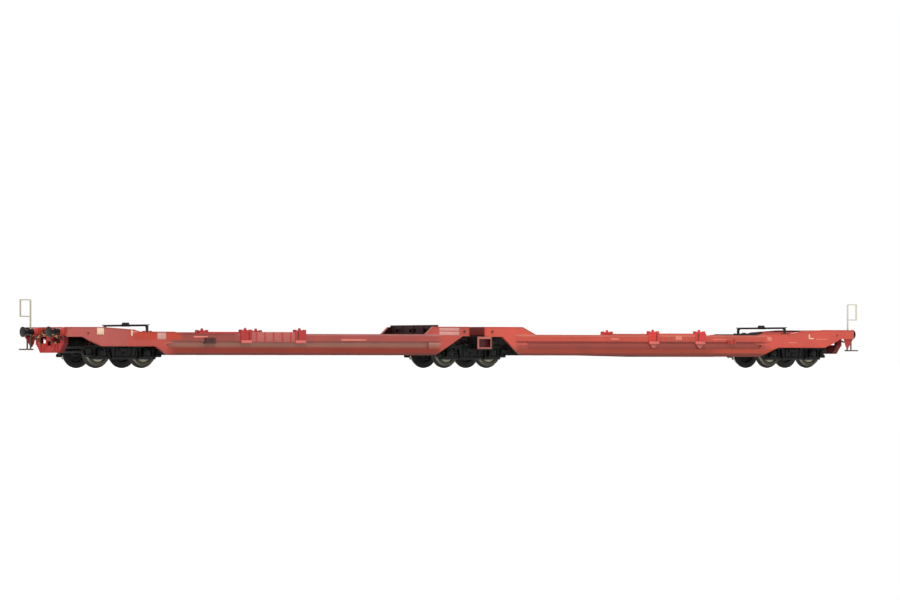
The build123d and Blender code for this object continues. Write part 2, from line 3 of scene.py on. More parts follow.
import bmesh
import bpy
import numpy as np
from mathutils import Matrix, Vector


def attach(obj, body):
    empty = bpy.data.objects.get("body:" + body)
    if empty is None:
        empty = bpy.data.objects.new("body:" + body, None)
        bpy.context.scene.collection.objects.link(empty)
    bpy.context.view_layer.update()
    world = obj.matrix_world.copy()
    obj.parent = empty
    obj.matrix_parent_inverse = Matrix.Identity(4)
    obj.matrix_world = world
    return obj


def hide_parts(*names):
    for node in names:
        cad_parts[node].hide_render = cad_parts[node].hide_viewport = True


# The articulated pocket wagon, a 1:87 model: two painted zinc units hinged on a shared bogie,
# with one more bogie under each outer end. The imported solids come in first; their box is the
# size that every piece below stays inside.
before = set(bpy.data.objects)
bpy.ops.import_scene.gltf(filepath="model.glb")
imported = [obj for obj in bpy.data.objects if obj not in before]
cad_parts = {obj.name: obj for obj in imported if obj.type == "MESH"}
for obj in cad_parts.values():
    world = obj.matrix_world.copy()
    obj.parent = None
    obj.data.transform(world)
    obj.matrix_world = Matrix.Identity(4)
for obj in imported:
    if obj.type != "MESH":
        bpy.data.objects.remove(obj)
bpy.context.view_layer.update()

# Camera. The photograph is taken from the floor, far off, with a long lens, so the wagon's
# sides hardly converge. Yaw, distance and lens come from the twelve wheels in the picture;
# the lens looks slightly up, which puts the wheels below the middle of the frame.
camera_yaw = math.radians(34.0)
camera_distance = 2.427
camera_height = 0.0010
photo_width_px = 900
photo_focal_px = 5976
wagon_right_px = 4.8               # of the photograph's middle, at the middle pivot
wagon_below_px = 65.7
aside = wagon_right_px / photo_focal_px * camera_distance
above = wagon_below_px / photo_focal_px * camera_distance
sight = Vector((math.sin(camera_yaw), math.cos(camera_yaw), 0))
rightward = Vector((math.cos(camera_yaw), -math.sin(camera_yaw), 0))
camera = bpy.data.objects.new("camera", bpy.data.cameras.new("camera"))
camera.location = -camera_distance * sight + Vector((0, 0, camera_height))
aim = -aside * rightward + Vector((0, 0, camera_height + above))
camera.rotation_euler = (aim - camera.location).to_track_quat("-Z", "Y").to_euler()
camera.data.sensor_width = 36
camera.data.lens = camera.data.sensor_width * photo_focal_px / photo_width_px
camera.data.clip_start = 0.001
camera.data.clip_end = 100
bpy.context.scene.collection.objects.link(camera)
bpy.context.scene.camera = camera


# Studio. A matt white card that runs far back under the wagon, a soft box overhead and a
# weaker one on the far side. The card glows a little, but only to the lens and in mirrored
# light, which makes it white in the picture and leaves the wagon's shadow on it.
def linear(code):
    """Linear colour of an sRGB hex code: (c + 0.055) / 1.055 to the power 2.4, or c / 12.92 when dark."""
    c = np.array([int(code[i:i + 2], 16) for i in (0, 2, 4)]) / 255
    c = np.where(c <= 0.04045, c / 12.92, ((c + 0.055) / 1.055) ** 2.4)
    return (*c.tolist(), 1.0)


def node(tree, kind, values=None, links=None, **settings):
    """Adds a node, sets its plain settings and socket values, and links its sockets."""
    made = tree.nodes.new(kind)
    for key, value in settings.items():
        setattr(made, key, value)
    for socket, value in (values or {}).items():
        made.inputs[socket].default_value = value
    for socket, source in (links or {}).items():
        tree.links.new(source, made.inputs[socket])
    return made


def maths(tree, operation, *terms, **settings):
    """Output of one maths node; each term is a number or a node's output."""
    values = {k: term for k, term in enumerate(terms) if isinstance(term, float)}
    links = {k: term for k, term in enumerate(terms) if not isinstance(term, float)}
    return node(tree, "ShaderNodeMath", values, links, operation=operation, **settings).outputs[0]


def blank(name):
    """An empty node material and its tree."""
    made = bpy.data.materials.new(name)
    made.use_nodes = True
    made.node_tree.nodes.clear()
    return made, made.node_tree


white_card, tree = blank("matt_white_card")
ray = node(tree, "ShaderNodeLightPath").outputs
seen = maths(tree, "ADD", ray["Is Camera Ray"], ray["Is Glossy Ray"])
seen = maths(tree, "ADD", seen, ray["Is Transmission Ray"])
glow = maths(tree, "MULTIPLY", seen, 0.5)
matt = node(tree, "ShaderNodeBsdfDiffuse", {"Color": linear("e6e5e2")})
lamp = node(tree, "ShaderNodeEmission", {"Color": (1, 1, 1, 1)}, {"Strength": glow})
both = node(tree, "ShaderNodeAddShader", links={0: matt.outputs[0], 1: lamp.outputs[0]})
node(tree, "ShaderNodeOutputMaterial", links={"Surface": both.outputs[0]})

floor_half = 40.0
corners = [(x * floor_half, y * floor_half, 0) for x, y in ((-1, -1), (1, -1), (1, 1), (-1, 1))]
floor_mesh = bpy.data.meshes.new("floor")
floor_mesh.from_pydata(corners, [], [(0, 1, 2, 3)])
floor_mesh.materials.append(white_card)
floor = bpy.data.objects.new("floor", floor_mesh)
bpy.context.scene.collection.objects.link(floor)

world = bpy.data.worlds.new("studio")
bpy.context.scene.world = world
world.use_nodes = True
tree = world.node_tree
tree.nodes.clear()
ray = node(tree, "ShaderNodeLightPath").outputs
seen = maths(tree, "ADD", ray["Is Camera Ray"], ray["Is Transmission Ray"], use_clamp=True)
room = node(tree, "ShaderNodeBackground", {"Color": (1, 1, 1, 1), "Strength": 0.62})
backdrop = node(tree, "ShaderNodeBackground", {"Color": (1, 1, 1, 1), "Strength": 1.0})
both = node(tree, "ShaderNodeMixShader", links={0: seen, 1: room.outputs[0], 2: backdrop.outputs[0]})
node(tree, "ShaderNodeOutputWorld", links={"Surface": both.outputs[0]})

bpy.context.scene.view_settings.view_transform = "Standard"
lamps = (("soft_box", (-0.5, -0.9, 1.3), 1.1, 16.0), ("far_soft_box", (0.8, 1.0, 0.9), 0.9, 5.0))
for name, place, size, watts in lamps:
    lamp_data = bpy.data.lights.new(name, "AREA")
    lamp_data.size = size
    lamp_data.energy = watts
    soft_box = bpy.data.objects.new(name, lamp_data)
    soft_box.location = place
    soft_box.rotation_euler = (-Vector(place)).to_track_quat("-Z", "Y").to_euler()
    bpy.context.scene.collection.objects.link(soft_box)


# Side sills. Cast zinc under satin red enamel: smooth to the eye, a slight orange peel in the
# gloss, and paler on the edges, partly thin paint and partly a painted highlight. Between its
# two chords each side is recessed, and there the paint runs in bands, duller on unit a and
# redder on unit b, that hold painted shade as well as the paint. The faces that look in over a
# bogie, and the inner faces of the raised cheeks, are painted shade, dark red to black-brown.
def spread(tree, value, low, high, first=0.0, last=1.0, **settings):
    """Goes from first to last as the value goes from low to high, and stays there beyond."""
    span = {"From Min": low, "From Max": high, "To Min": first, "To Max": last}
    return node(tree, "ShaderNodeMapRange", span, {"Value": value}, **settings).outputs[0]


def ramp(tree, value, low, high):
    """0 at low and 1 at high, smooth between them; low and high are millimetres."""
    return spread(tree, value, low / 1000, high / 1000, interpolation_type="SMOOTHSTEP")


def mix(tree, factor, first, second):
    """Colour from first to second by a factor; each is a hex code or a node's output."""
    made = node(tree, "ShaderNodeMix", links={"Factor": factor}, data_type="RGBA")
    for socket, colour in (("A", first), ("B", second)):
        if isinstance(colour, str):
            made.inputs[socket].default_value = linear(colour)
        else:
            tree.links.new(colour, made.inputs[socket])
    return made.outputs["Result"]


def painted(tree, colour, edge, roughness, grain_mm, depth_mm, specular=0.5, cloud_mm=9.0, relief=None):
    """Finish shared by the paints and plastics: fine grain in the bump, cloudy gloss, and an
    edge tint where the rounded normal turns away from the flat one. colour is a hex code or a
    node's output; relief is a height in millimetres to add to the bump."""
    rounding_mm = 0.12
    place = {"Vector": node(tree, "ShaderNodeTexCoord").outputs["Object"]}
    fine = {"Scale": 1000 / grain_mm, "Detail": 3.0, "Roughness": 0.6}
    coarse = {"Scale": 1000 / cloud_mm, "Detail": 4.0, "Roughness": 0.55}
    grain = node(tree, "ShaderNodeTexNoise", fine, place).outputs[0]
    clouds = node(tree, "ShaderNodeTexNoise", coarse, place).outputs[0]
    soft = node(tree, "ShaderNodeBevel", {"Radius": rounding_mm / 1000}, samples=4).outputs[0]
    flat = node(tree, "ShaderNodeNewGeometry").outputs["Normal"]
    turn = node(tree, "ShaderNodeVectorMath", links={0: soft, 1: flat}, operation="DOT_PRODUCT")
    # Edge tint: partly thin paint on rubbed edges and partly a painted highlight.
    edge_wear_and_highlight = spread(tree, turn.outputs["Value"], 0.97, 0.75, 0.0, 0.55)
    cloud = spread(tree, clouds, 0.35, 0.65, 0.93, 1.05)
    shade = node(tree, "ShaderNodeVectorMath", links={"Scale": cloud}, operation="SCALE")
    if isinstance(colour, str):
        shade.inputs[0].default_value = linear(colour)[:3]
    else:
        tree.links.new(colour, shade.inputs[0])
    tint = mix(tree, edge_wear_and_highlight, shade.outputs[0], edge)
    gloss = spread(tree, clouds, 0.3, 0.7, roughness - 0.06, roughness + 0.08)
    bump = node(tree, "ShaderNodeBump", {"Strength": 0.35, "Distance": depth_mm / 1000},
                {"Height": grain, "Normal": soft})
    if relief is not None:
        bump = node(tree, "ShaderNodeBump", {"Strength": 1.0, "Distance": 0.001},
                    {"Height": relief, "Normal": bump.outputs[0]})
    skin = node(tree, "ShaderNodeBsdfPrincipled", {"IOR": 1.5, "Specular IOR Level": specular},
                {"Base Color": tint, "Roughness": gloss, "Normal": bump.outputs[0]})
    node(tree, "ShaderNodeOutputMaterial", links={"Surface": skin.outputs[0]})


def plain(name, *look, **more):
    """A material of one colour in the shared finish."""
    made, tree = blank(name)
    painted(tree, *look, **more)
    return made


def position(tree):
    """Object coordinates x, y and z, with z from the rail head."""
    place = node(tree, "ShaderNodeTexCoord").outputs["Object"]
    x, y, z = node(tree, "ShaderNodeSeparateXYZ", links={0: place}).outputs
    return x, y, maths(tree, "SUBTRACT", z, rail_mm / 1000)


def finish(material, *kinds, letters="abm"):
    """Gives one material to CAD nodes, by their names and the letters of their units or bogies."""
    for name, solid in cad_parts.items():
        kind, letter = name.rsplit("_", 1)
        if kind in kinds and letter in letters:
            solid.data.materials.clear()
            solid.data.materials.append(material)


rail_mm = 1.0                      # height of the rail head above the surface it stands on
# The bands are partly the paint and partly painted light and shade: the lower chord darkens downward as
# painted shade, and the top of the recess is paled to paint out the ledge's shadow.
belly_paint_and_shade_bands = {                    # colour, lowest and highest z of each band between the bulkheads
    "a": (("a54a43", 9.75, 11.9), ("b26a66", 11.9, 12.7), ("7c4238", 9.25, 9.75), ("b4756a", 8.5, 9.25),
          ("9d6a5b", 7.7, 8.5), ("9b5441", 6.9, 7.7), ("8b2b19", 5.1, 6.9), ("6b3029", -9.0, 5.1)),
    "b": (("c54f3e", 9.95, 11.9), ("cf705d", 11.9, 12.7), ("872a24", 9.25, 9.95), ("bc5549", 8.3, 9.25),
          ("9e463a", 6.95, 8.3), ("9c3a26", 5.1, 6.95), ("7a3529", -9.0, 5.1)),
}
sill_paints = {}
for unit, cheek, painted_cheek_shade in (("a", "b94c41", "220b0d"), ("b", "d25445", "80291d")):
    sill_paints[unit], tree = blank("satin_red_enamel_painted_shade_sill_" + unit)
    x, y, height = position(tree)
    along, across = maths(tree, "ABSOLUTE", x), maths(tree, "ABSOLUTE", y)
    belly = maths(tree, "MULTIPLY", ramp(tree, along, 17, 20), ramp(tree, along, 149, 142))
    bays = maths(tree, "ADD", ramp(tree, along, 24.0, 22.5), ramp(tree, along, 139.0, 141.0))
    inner_face = ramp(tree, across, 15.9, 15.6)
    over_pocket = ramp(tree, height, 12.5, 12.7)
    zones = []                     # each a colour and the factors that bound it
    for tone, low, high in belly_paint_and_shade_bands[unit]:
        rise, fall = ramp(tree, height, low - 0.04, low + 0.04), ramp(tree, height, high + 0.04, high - 0.04)
        zones.append((tone, rise, fall, belly))
    if unit == "a":
        zones.append(("93453c", ramp(tree, along, 113.5, 117.0), ramp(tree, height, 9.7, 9.8), belly))
        orange = ramp(tree, along, 139.0, 142.0), ramp(tree, along, 164.0, 160.0)
        zones.append(("bb3f2a", *orange, ramp(tree, height, 9.6, 10.6)))
        zones.append(("b3564f", ramp(tree, along, 163.0, 167.0), ramp(tree, across, 16.0, 16.3)))
    if unit == "b":
        low_chord = ramp(tree, height, 5.1, 5.2), ramp(tree, height, 6.98, 6.9)
        zones.append(("b4452f", ramp(tree, along, 112.0, 124.0), *low_chord))
    # Painted shade: dark red to near black on the inner faces of the raised cheeks and over the bogie bays.
    zones.append((painted_cheek_shade, ramp(tree, along, 29.0, 26.0), over_pocket, inner_face))
    zones.append(("3a0f0e", ramp(tree, along, 139.0, 141.0), over_pocket, inner_face))
    zones.append(("1c0f0e", bays, ramp(tree, height, 12.6, 11.8), inner_face, inner_face))
    paint = cheek
    for tone, inside, *bounds in zones:
        for bound in bounds:
            inside = maths(tree, "MULTIPLY", inside, bound)
        paint = mix(tree, inside, paint, tone)
    painted(tree, paint, "da7664", 0.38, 0.5, 0.012, specular=0.4)
    finish(sill_paints[unit], "sill_right", "sill_left", letters=unit)

red_enamel = plain("satin_red_enamel", "bd4034", "da7664", 0.40, 0.5, 0.012, specular=0.4)


# Mesh making. Each new piece is one or more grids of points in millimetres, x along the
# wagon, y across it and z above the rail head. The grids are put into one mesh, their seams
# and poles are closed, and edges sharper than 35 degrees stay crisp.
def rounded(width, height, edge, steps=2):
    """Rounded rectangle: four quarter circles of radius edge, joined by straight sides."""
    a = np.linspace(0, math.pi / 2, steps + 1)
    quarter = np.stack([np.cos(a), np.sin(a)], -1) * edge
    out = []
    for k, (sx, sy) in enumerate(((1, 1), (-1, 1), (-1, -1), (1, -1))):
        c, s = math.cos(k * math.pi / 2), math.sin(k * math.pi / 2)
        corner = np.array([sx * (width / 2 - edge), sy * (height / 2 - edge)])
        out.append(quarter @ np.array([[c, s], [-s, c]]) + corner)
    out = np.concatenate(out)
    return np.concatenate([out, out[:1]])


def ring(radius, steps):
    """Circle: radius times cosine and sine of the angle."""
    a = np.linspace(0, 2 * math.pi, steps + 1)
    return radius * np.stack([np.cos(a), np.sin(a)], -1)


def carry(section, path, up=(0, 0, 1), ease=0.0):
    """Section carried along a path: each point is path + p * side + q * rise, with side square
    to the path and to up. Corners are mitred, and both ends close to their middle, first
    through a section drawn in by ease."""
    path = np.asarray(path, float)
    step = np.diff(path, axis=0)
    step /= np.linalg.norm(step, axis=1, keepdims=True)
    before, after = np.vstack([step[:1], step]), np.vstack([step, step[-1:]])
    mid = before + after
    mid /= np.linalg.norm(mid, axis=1, keepdims=True)
    side = np.cross(mid, np.asarray(up, float))
    side /= np.linalg.norm(side, axis=1, keepdims=True)
    rise = np.cross(side, mid)
    stretch = 1 / np.maximum(np.sum(mid * after, axis=1), 0.4)
    bend = np.cross(before, after)
    flatwise = np.abs(np.sum(bend * rise, axis=1)) > np.abs(np.sum(bend * side, axis=1))
    wide = np.where(flatwise, stretch, 1.0)[:, None, None]
    tall = np.where(flatwise, 1.0, stretch)[:, None, None]
    grid = path[:, None] + wide * section[None, :, :1] * side[:, None]
    grid = grid + tall * section[None, :, 1:] * rise[:, None]
    shrink = 1 - ease / max(np.abs(section).max(), 1e-9)
    first, last = grid[0], grid[-1]
    a = path[0] + (first - path[0]) * shrink
    b = path[-1] + (last - path[-1]) * shrink
    if ease:
        first, last = first + ease * step[0], last - ease * step[-1]
    return np.stack([path[0] + 0 * a, a, first, *grid[1:-1], last, b, path[-1] + 0 * b])


def slab(low, high, edge=0.1):
    """Rounded block between two corners: a rounded rectangle carried along x."""
    low, high = np.asarray(low, float), np.asarray(high, float)
    mid = (low + high) / 2
    edge = min(edge, 0.45 * (high - low).min())
    section = rounded(high[1] - low[1], high[2] - low[2], edge)
    return carry(section, [(low[0], mid[1], mid[2]), (high[0], mid[1], mid[2])], ease=edge)


def plate(outline, middle, near, far, ease=0.08):
    """Flat plate: an outline of (x, z) corners, seen from its middle, carried across from near to far."""
    outline = np.asarray(outline, float)
    shape = np.concatenate([outline, outline[:1]]) - middle
    return carry(shape, [(middle[0], near, middle[1]), (middle[0], far, middle[1])], ease=ease)


def wire(path, radius, sides=8, up=(0, 0, 1)):
    """Round wire: a circle carried along a path, its ends slightly rounded."""
    return carry(ring(radius, sides), path, up=up, ease=0.3 * radius)


def turned(profile, centre, axis, steps=32):
    """Surface of revolution: profile rows are (distance along the axis, radius)."""
    axis = np.asarray(axis, float)
    one = np.cross(axis, (0.3, 0.5, 0.81))
    one /= np.linalg.norm(one)
    two = np.cross(axis, one)
    around = ring(1, steps)
    spoke = around[:, :1] * one + around[:, 1:] * two
    profile = np.asarray(profile, float)
    return np.asarray(centre, float) + profile[:, :1, None] * axis + profile[:, 1:, None] * spoke[None]


def bolt(centre, axis, radius=0.28, high=0.16):
    """Bolt head: a low six-sided turned shape with a drawn-in crown."""
    profile = [(-0.05, 0), (-0.05, radius), (0.7 * high, radius), (high, 0.75 * radius), (high, 0)]
    return turned(profile, centre, axis, 6)


def weld(name, grids, materials, body, pick=None):
    """Puts grids of points into one mesh. Neighbouring points of a grid make its faces; equal
    points are merged, which closes seams and poles. pick gives each grid's material."""
    points, faces, slots, start = [], [], [], 0
    for number, grid in enumerate(grids):
        rows, cols = grid.shape[:2]
        index = start + np.arange(rows * cols).reshape(rows, cols)
        quads = np.stack([index[:-1, :-1], index[1:, :-1], index[1:, 1:], index[:-1, 1:]], -1).reshape(-1, 4)
        points.append(grid.reshape(-1, 3))
        faces.append(quads)
        slots.append(np.full(len(quads), pick[number] if pick else 0))
        start += rows * cols
    points, faces = np.concatenate(points), np.concatenate(faces)
    mesh = bpy.data.meshes.new(name)
    mesh.from_pydata(((points + (0, 0, rail_mm)) / 1000).tolist(), [], faces.tolist())
    for material in materials:
        mesh.materials.append(material)
    mesh.polygons.foreach_set("material_index", np.concatenate(slots).astype(np.int32))
    shape = bmesh.new()
    shape.from_mesh(mesh)
    bmesh.ops.remove_doubles(shape, verts=shape.verts, dist=1e-7)
    bmesh.ops.dissolve_degenerate(shape, edges=shape.edges, dist=1e-7)
    bmesh.ops.recalc_face_normals(shape, faces=shape.faces)
    shape.to_mesh(mesh)
    shape.free()
    mesh.polygons.foreach_set("use_smooth", np.ones(len(mesh.polygons), bool))
    mesh.set_sharp_from_angle(angle=math.radians(35))
    made = bpy.data.objects.new(name, mesh)
    bpy.context.scene.collection.objects.link(made)
    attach(made, body)
    return made


def both_sides(grids):
    """The grids and their mirror images across the wagon."""
    return list(grids) + [g * (1, -1, 1) for g in grids]


def on_unit(name, unit, grids, materials, pick=None):
    """A piece of one unit: drawn for unit b, and for unit a turned half round the middle pivot."""
    side = {"a": -1, "b": 1}[unit]
    return weld(name + "_" + unit, [g * (side, side, 1) for g in grids], materials, "unit_" + unit, pick)


sill_face = 17.0
pocket_inner, pocket_outer = 24.0, 138.6
bay_lines = [pocket_inner + (pocket_outer - pocket_inner) / 9 * k for k in range(1, 9)]

# Cap and lip of each sill. Thin flanges along the top and the lower edge, cast with the side
# and painted with it; they stand a tenth of a millimetre proud and catch the light.
slope_foot = {"a": 25.4, "b": 28.4}
low_edge = {
    "a": [(20.7, 4.25), (146.4, 4.25), (151.9, 7.5), (176.0, 7.5), (181.0, 9.4)],
    "b": [(20.7, 4.4), (62.0, 4.4), (98.0, 3.7), (142.1, 3.7), (151.6, 7.5), (176.0, 7.5), (181.0, 9.4)],
}
for unit in "ab":
    top_edge = [(3.9, 15.7), (21.8, 15.7), (slope_foot[unit], 12.6), (139.8, 12.6), (143.5, 13.3)]
    top_edge += [(159.0, 13.3), (162.0, 14.1), (176.0, 15.0), (191.4, 15.0)]
    cap_path = [(x, sill_face + 0.03, z - 0.16) for x, z in top_edge]
    lip_path = [(x, sill_face + 0.03, z + 0.18) for x, z in low_edge[unit]]
    cap = carry(rounded(0.18, 0.3, 0.05), cap_path, up=(0, 1, 0))
    lip = carry(rounded(0.18, 0.34, 0.05), lip_path, up=(0, 1, 0))
    flange = on_unit("sill_flanges", unit, both_sides([cap, lip]), [sill_paints[unit]])

# Ledges of the recess. A narrow moulding above and below the recessed band, cast with it.
for unit in "ab":
    end_x = {"a": 142.8, "b": 138.4}[unit]
    ledges = [slab((24.2, 16.5, z), (x, 17.07, z + 0.12), 0.04) for x, z in ((end_x, 9.3), (end_x + 3, 6.78))]
    ledge = on_unit("sill_ledges", unit, both_sides(ledges), [sill_paints[unit]])

# Stiffeners and brake pipe inside the pocket. Upright ribs on each sill's inner face and a
# rubbing strip, cast with it; a drawn wire pipe runs along one side in small clips.
pipe_paint = plain("satin_red_enamel_on_wire", "b53a2e", "d9796a", 0.34, 0.3, 0.006)
for unit in "ab":
    ribs = [slab((x - 0.25, 15.1, 5.7), (x + 0.25, 15.6, 12.1), 0.08) for x in bay_lines]
    ribs.append(slab((25.0, 15.2, 9.6), (137.6, 15.6, 10.3), 0.1))
    stiffeners = on_unit("sill_stiffeners", unit, both_sides(ribs), [red_enamel])
    clip_places = [(x, 7.4) for x in (31.0, 44.0, 57.0)]
    clip_places += [(x, 8.4) for x in (70.0, 83.0, 96.0, 109.0, 122.0, 134.0)]
    pipe = [wire([(24.6, 15.0, 7.4), (60.0, 15.0, 7.4), (62.0, 15.0, 8.4), (138.0, 15.0, 8.4)], 0.22)]
    pipe += [slab((x - 0.3, 14.72, z - 0.3), (x + 0.3, 15.5, z + 0.3), 0.1) for x, z in clip_places]
    piping = on_unit("brake_pipe", unit, pipe, [pipe_paint])

# Lifting eyes. Open cast rings on the outside of the raised ends, each filled by a dark disc
# that paints the shade of its hole. The profiles' radii are shares of the eye's own.
painted_hole_shade = plain("shadowed_red_enamel", "4a1613", "6a2a22", 0.6, 0.5, 0.01)
eye_rim = [(-0.1, 1.25), (0.12, 1.2), (0.2, 1.0), (0.1, 0.8), (-0.1, 0.78), (-0.1, 1.25)]
eye_hole = [(-0.1, 0.0), (-0.1, 0.79), (0.03, 0.79), (0.03, 0.0)]
for unit in "ab":
    eyes = []
    for x, z, radius in ((6.8, 13.7, 0.7), (182.5, 12.6, 0.45)):
        for shares in (eye_rim, eye_hole):
            profile = [(high, share * radius) for high, share in shares]
            eyes.append(turned(profile, (x, sill_face, z), (0, 1, 0), 20))
    eye = on_unit("lashing_eyes", unit, both_sides(eyes), [sill_paints[unit], painted_hole_shade], [0, 1] * 4)

# Printed marks. Pad-printed ink films on the sides, left blank: square and long tables, and
# the angle marks that show where a load's corner comes. A film is a few hundredths thick.
inks = [
    plain("pad_printed_cream_ink", "e8cfae", "f2e0c8", 0.45, 0.3, 0.004),
    plain("pad_printed_grey_pink_ink", "c99a90", "dcb4aa", 0.48, 0.3, 0.004),
    plain("pad_printed_pink_ink", "e37f6d", "efa08f", 0.45, 0.3, 0.004),
    plain("pad_printed_rose_ink", "d0948c", "e8bdb4", 0.45, 0.3, 0.004),
]
marks = {                          # the two ends in x, the two in z, and the ink
    "a": [
        (175.4, 178.5, 12.1, 14.8, 0), (147.3, 151.2, 10.3, 13.1, 1), (162.4, 163.2, 11.6, 14.0, 0),
        (160.2, 162.35, 12.9, 13.5, 2), (54.0, 66.0, 9.95, 10.5, 2), (128.0, 134.5, 11.0, 11.6, 2),
        (9.3, 18.9, 12.3, 13.7, 3), (9.3, 18.9, 14.0, 15.3, 3),
    ],
    "b": [
        (167.6, 168.3, 11.1, 13.1, 0), (168.35, 170.2, 11.1, 11.6, 0), (171.5, 177.5, 10.9, 11.3, 2),
        (145.9, 148.2, 10.2, 12.0, 2), (66.0, 70.0, 10.6, 11.3, 2), (118.0, 127.0, 10.8, 11.1, 2),
        (157.0, 161.5, 9.4, 9.8, 2),
    ],
}
for unit in "ab":
    films = [slab((x0, 16.98, z0), (x1, 17.03, z1), 0.01) for x0, x1, z0, z1, ink in marks[unit]]
    picked = [mark[-1] for mark in marks[unit]] * 2
    printed = on_unit("printed_marks", unit, both_sides(films), inks, picked)

# Decks and pocket floors. The same enamel over cast tread plate: small raised lozenges in
# diagonal rows, some 0.65 millimetres long, drawn a little coarse so they show. Under the
# decks, over the bogies, the castings are painted black-brown shade, and near the middle pivot
# painted shade darkens them.
tread_enamel, tree = blank("red_enamel_on_tread_plate_painted_shade_under")
place = node(tree, "ShaderNodeTexCoord").outputs["Object"]
lozenges = []
for turn in (math.radians(45), math.radians(-45)):
    laid = node(tree, "ShaderNodeMapping", {"Rotation": (0, 0, turn), "Scale": (1.0, 2.4, 1.0)},
                {"Vector": place})
    cells = node(tree, "ShaderNodeTexVoronoi", {"Scale": 1000 / 1.3, "Randomness": 0.0},
                 {"Vector": laid.outputs[0]}, voronoi_dimensions="2D").outputs["Distance"]
    lozenges.append(spread(tree, cells, 0.32, 0.18, interpolation_type="SMOOTHSTEP"))
normal = node(tree, "ShaderNodeNewGeometry").outputs["Normal"]
upward = node(tree, "ShaderNodeSeparateXYZ", links={0: normal}).outputs["Z"]
studs = maths(tree, "MAXIMUM", *lozenges)
studs = maths(tree, "MULTIPLY", studs, maths(tree, "GREATER_THAN", upward, 0.9))
x, _, height = position(tree)
along = maths(tree, "ABSOLUTE", x)
bays = maths(tree, "ADD", ramp(tree, along, 23.4, 22.9), ramp(tree, along, 139.3, 139.9))
under = maths(tree, "MULTIPLY", bays, ramp(tree, height, 12.5, 12.2))
shade = mix(tree, studs, "b03a2e", "c75246")
# Painted shade: darker near the middle pivot, and black-brown under the decks over the bogies.
shade = mix(tree, ramp(tree, along, 5.9, 5.6), shade, "7e251a")
shade = mix(tree, under, shade, "1c0f0e")
painted(tree, shade, "da7664", 0.42, 0.5, 0.012, specular=0.4, relief=maths(tree, "MULTIPLY", studs, 0.10))
finish(tread_enamel, "pocket_floor", "inner_end", "outer_end")
finish(red_enamel, "headstock")

# Ends of the pockets and platforms. Cast ribs on the bulkheads, bolt heads along the decks,
# a raised rim along each side of the platforms and side bearers over the outer bogie.
bolt_rows = (                      # places along the wagon, height and places across it
    ((8.2, 12.6, 17.0, 21.0), 12.6, (-13.6, -8.0, 8.0, 13.6)),
    ((143.5, 149.0, 157.0, 162.5), 12.6, (-13.6, -8.6, 8.6, 13.6)),
    ((171.0, 177.0, 183.5), 14.0, (-13.8, -7.0, 0.0, 7.0, 13.8)),
)
for unit in "ab":
    cast = []
    for y in (-11.0, -6.6, -2.2, 2.2, 6.6, 11.0):
        cast.append(slab((pocket_inner - 0.05, y - 0.3, 5.9), (pocket_inner + 0.4, y + 0.3, 12.2), 0.08))
        cast.append(slab((pocket_outer - 0.4, y - 0.3, 5.9), (pocket_outer + 0.05, y + 0.3, 11.9), 0.08))
    cast.append(slab((pocket_inner - 0.05, -15.3, 9.0), (pocket_inner + 0.3, 15.3, 9.6), 0.08))
    cast.append(slab((pocket_outer - 0.35, -15.3, 9.0), (pocket_outer + 0.05, 15.3, 9.6), 0.08))
    cast += [bolt((x, y, z), (0, 0, 1)) for row, z, ways in bolt_rows for x in row for y in ways]
    cast += [slab((168.0, y - 0.25, 13.95), (187.4, y + 0.25, 14.35), 0.08) for y in (-15.1, 15.1)]
    cast += [slab((139.9, y - 0.25, 12.55), (165.6, y + 0.25, 12.95), 0.08) for y in (-15.1, 15.1)]
    cast += [slab((161.4, y - 1.3, 9.1), (165.0, y + 1.3, 12.05), 0.15) for y in (-11.5, 11.5)]
    fitted = on_unit("end_ribs", unit, cast, [red_enamel])

# Floor trays. Low ribs stand in pairs along each side of the pocket floor, with bolt heads
# between them and a centre beam down its middle; they are part of the casting.
for unit in "ab":
    trays = [slab((26.0, -0.7, 5.65), (136.5, 0.7, 5.95), 0.1)]
    for x in bay_lines:
        edges = (-13.0, -10.4, 10.4, 13.0)
        trays += [slab((x - 1.6, y - 0.35, 5.65), (x + 1.6, y + 0.35, 5.9), 0.08) for y in edges]
        trays += [bolt((x, y, 5.7), (0, 0, 1), 0.3) for y in (-8.0, -3.0, 3.0, 8.0)]
    tray = on_unit("floor_trays", unit, trays, [red_enamel])

# Headstock fittings. Buffer plates with four bolts each, a guide plate with the black draw
# hook, and lamp brackets; pushed into holes in the casting.
front = 189.4                      # the beam's outer face
buffer_sides, buffer_z = (-10.05, 10.05), 13.15
hook_black = plain("matt_black_moulding", "0f1011", "33373a", 0.5, 0.25, 0.01, specular=0.35)
for unit in "ab":
    plates = []
    for y in buffer_sides:
        plates.append(slab((front - 0.1, y - 2.0, 11.35), (front + 0.22, y + 2.0, 14.9), 0.1))
        heads = [(front + 0.22, y + dy, buffer_z + dz) for dy in (-1.5, 1.5) for dz in (-1.3, 1.3)]
        plates += [bolt(head, (1, 0, 0), 0.3, 0.18) for head in heads]
    plates.append(slab((front - 0.1, -1.5, 11.6), (front + 0.5, 1.5, 14.4), 0.15))
    plates += [bolt((front + 0.5, y, z), (1, 0, 0), 0.25, 0.15) for y in (-1.1, 1.1) for z in (12.0, 14.0)]
    plates += [slab((front - 0.1, y - 0.5, 13.9), (front + 0.7, y + 0.5, 14.8), 0.12) for y in (-6.2, 6.2)]
    bends = ((0.3, 12.9), (2.0, 12.9), (2.9, 12.6), (3.3, 13.1), (3.2, 13.7), (2.6, 13.9))
    hook = [
        wire([(front + out, 0, z) for out, z in bends], 0.38, up=(0, 1, 0)),
        wire([(front + 1.6, -0.9, 12.9), (front + 1.6, 0.9, 12.9)], 0.25),
    ]
    picked = [0] * len(plates) + [1] * len(hook)
    fittings = on_unit("headstock_fittings", unit, plates + hook, [red_enamel, hook_black], picked)

